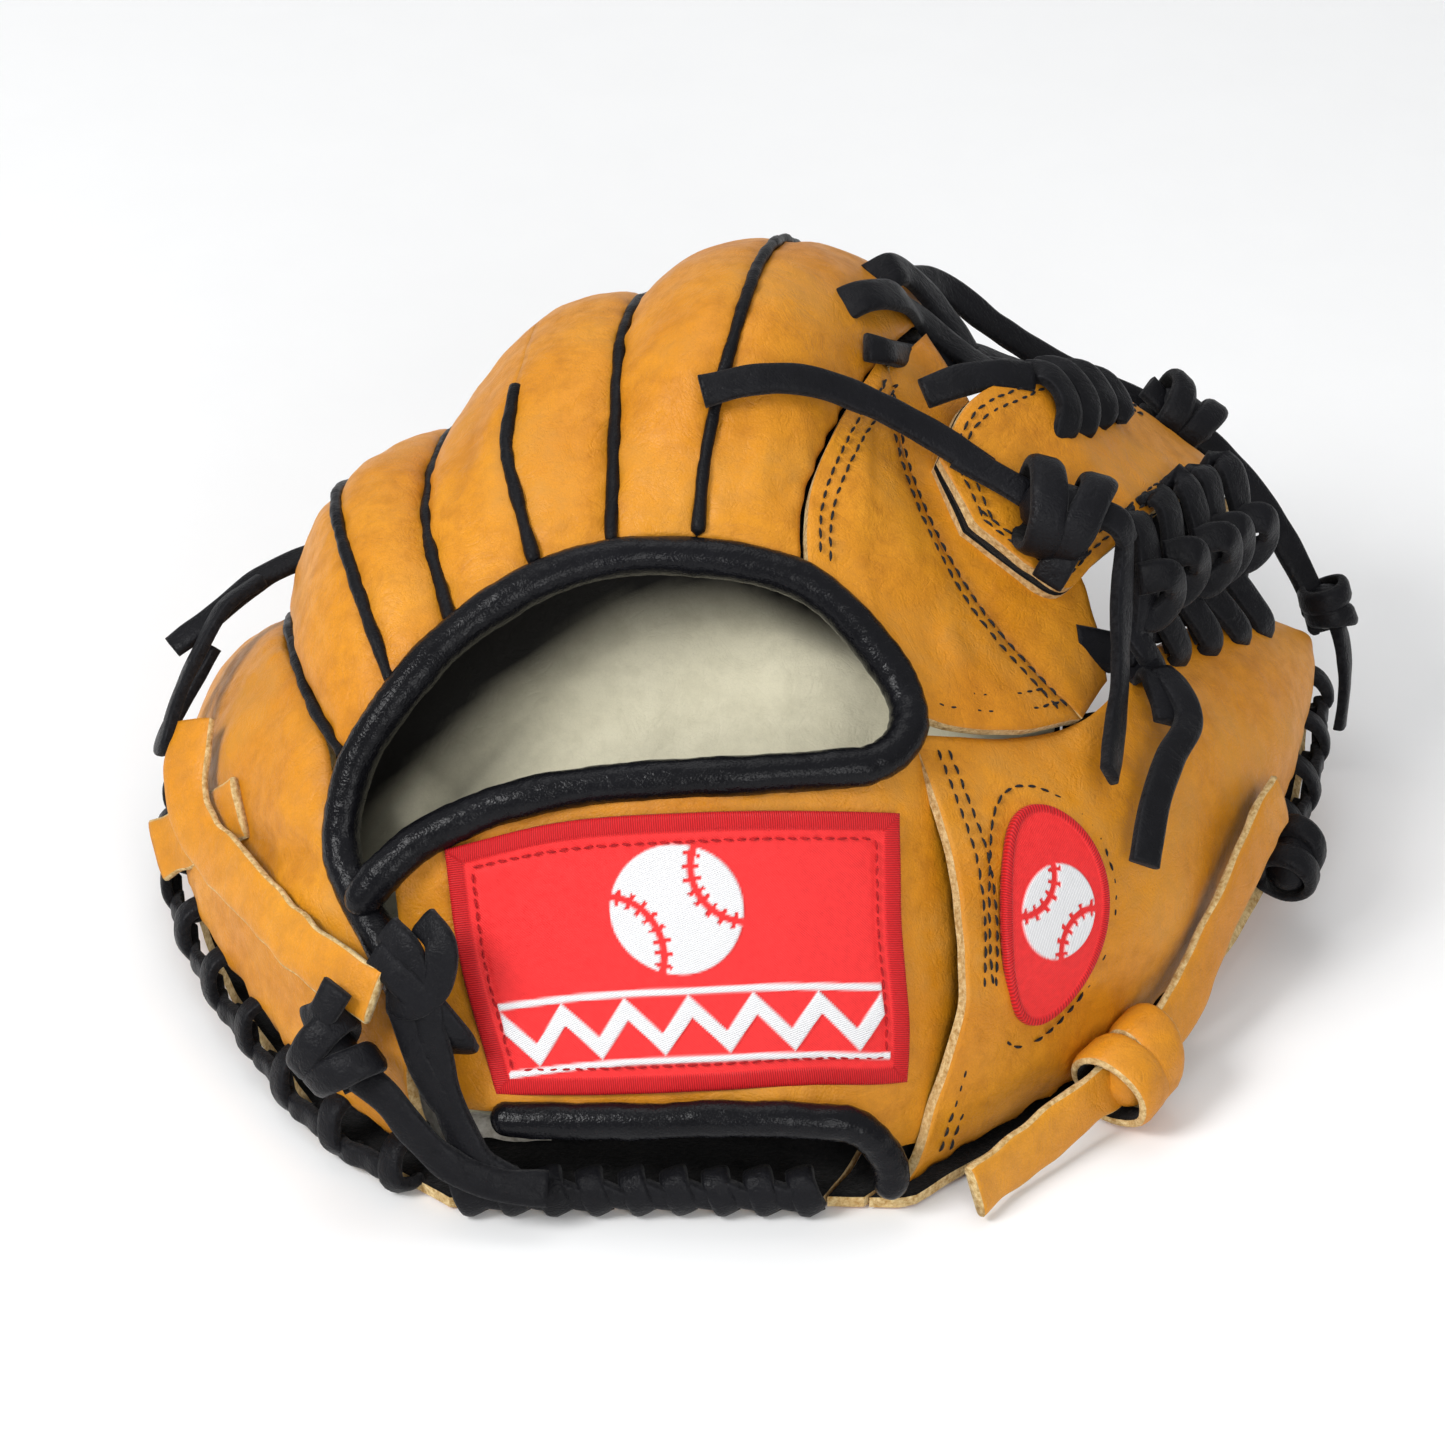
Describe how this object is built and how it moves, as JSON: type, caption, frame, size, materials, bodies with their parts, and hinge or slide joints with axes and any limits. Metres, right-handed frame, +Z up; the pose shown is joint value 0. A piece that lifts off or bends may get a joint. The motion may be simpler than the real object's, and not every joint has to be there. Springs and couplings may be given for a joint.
{
  "type": "baseball fielding glove",
  "caption": "Left-hand fielder's glove lying palm down: padded leather shell with finger stalls, wrist strap, laced web and ball pocket.",
  "frame": {"origin": "on the resting surface, in the flattened heel of the palm leather, under the middle of the wrist strap", "axes": "+X towards the thumb, +Y from the heel to the fingertips, +Z up, with the palm facing down"},
  "size_m": [0.256, 0.2285, 0.135],
  "materials": {
    "tan_leather": "semi-matt full-grain leather with fine creases",
    "palm_leather": "semi-matt full-grain leather, a little darker",
    "lining_leather": "matt grey-beige lining leather",
    "rawhide": "matt black rawhide lace",
    "binding_leather": "glossy fine-grained black leather",
    "patch_embroidery": "satin stitched thread",
    "felt": "pressed wool felt"
  },
  "bodies": {
    "finger_side": {"pinky_back": "tan_leather", "ring_back_outer": "tan_leather", "ring_back_inner": "tan_leather", "middle_back_outer": "tan_leather", "middle_back_inner": "tan_leather", "index_back_outer": "tan_leather", "index_back_inner": "tan_leather", "crotch_panel": "tan_leather", "web_shoulder_panel": "tan_leather", "welt_pinky_ring": "rawhide", "welt_ring": "rawhide", "welt_middle_ring": "rawhide", "welt_middle": "rawhide", "welt_index_middle": "rawhide", "welt_index": "rawhide", "hand_opening_binding": "binding_leather", "wrist_binding": "binding_leather", "wrist_strap": "tan_leather", "wrist_patch": "patch_embroidery", "palm_shell": "palm_leather", "palm_crease": "palm_leather", "pinky_heel_pad": "felt", "palm_pad": "felt", "palm_lining": "lining_leather", "pinky_stall": "lining_leather", "ring_stall": "lining_leather", "middle_stall": "lining_leather", "index_stall": "lining_leather", "web_post_back": "tan_leather", "web_post_front": "tan_leather", "web_index_lace": "rawhide", "web_thumb_lace": "rawhide", "web_top_lace": "rawhide", "pinky_edge_lace": "rawhide", "fingertip_lace": "rawhide", "heel_lace": "rawhide", "pinky_loop_strap": "tan_leather", "pinky_loop_lace": "rawhide", "strap_lace": "rawhide", "strap_lace_knot": "rawhide", "strap_lace_tail": "rawhide", "index_lace_knot": "rawhide", "index_lace_tail": "rawhide", "index_lace_hanging_tail": "rawhide", "short_web_tail": "rawhide", "web_top_knot": "rawhide"},
    "thumb_side": {"thumb_back": "tan_leather", "thumb_patch": "patch_embroidery", "thumb_palm_shell": "palm_leather", "thumb_heel_pad": "felt", "thumb_stall": "lining_leather", "thumb_edge_lace": "rawhide", "thumb_web_tail": "rawhide", "thumb_tip_knot": "rawhide", "thumb_tip_tail": "rawhide", "thumb_edge_knot": "rawhide", "thumb_loop_strap": "tan_leather", "thumb_loop_knot": "tan_leather", "thumb_loop_tail": "tan_leather"}
  },
  "joints": [
    {"name": "pocket_close", "type": "hinge", "parent": "finger_side", "child": "thumb_side", "pos_m": [0.03, 0.001, 0], "axis": [0.4425, 0.7405, 0.5057], "range_deg": [-4, 28], "stiffness_Nm_per_rad": 0.4, "deforming": ["palm_crease", "web_thumb_lace", "web_top_lace", "web_top_knot"]}
  ]
}
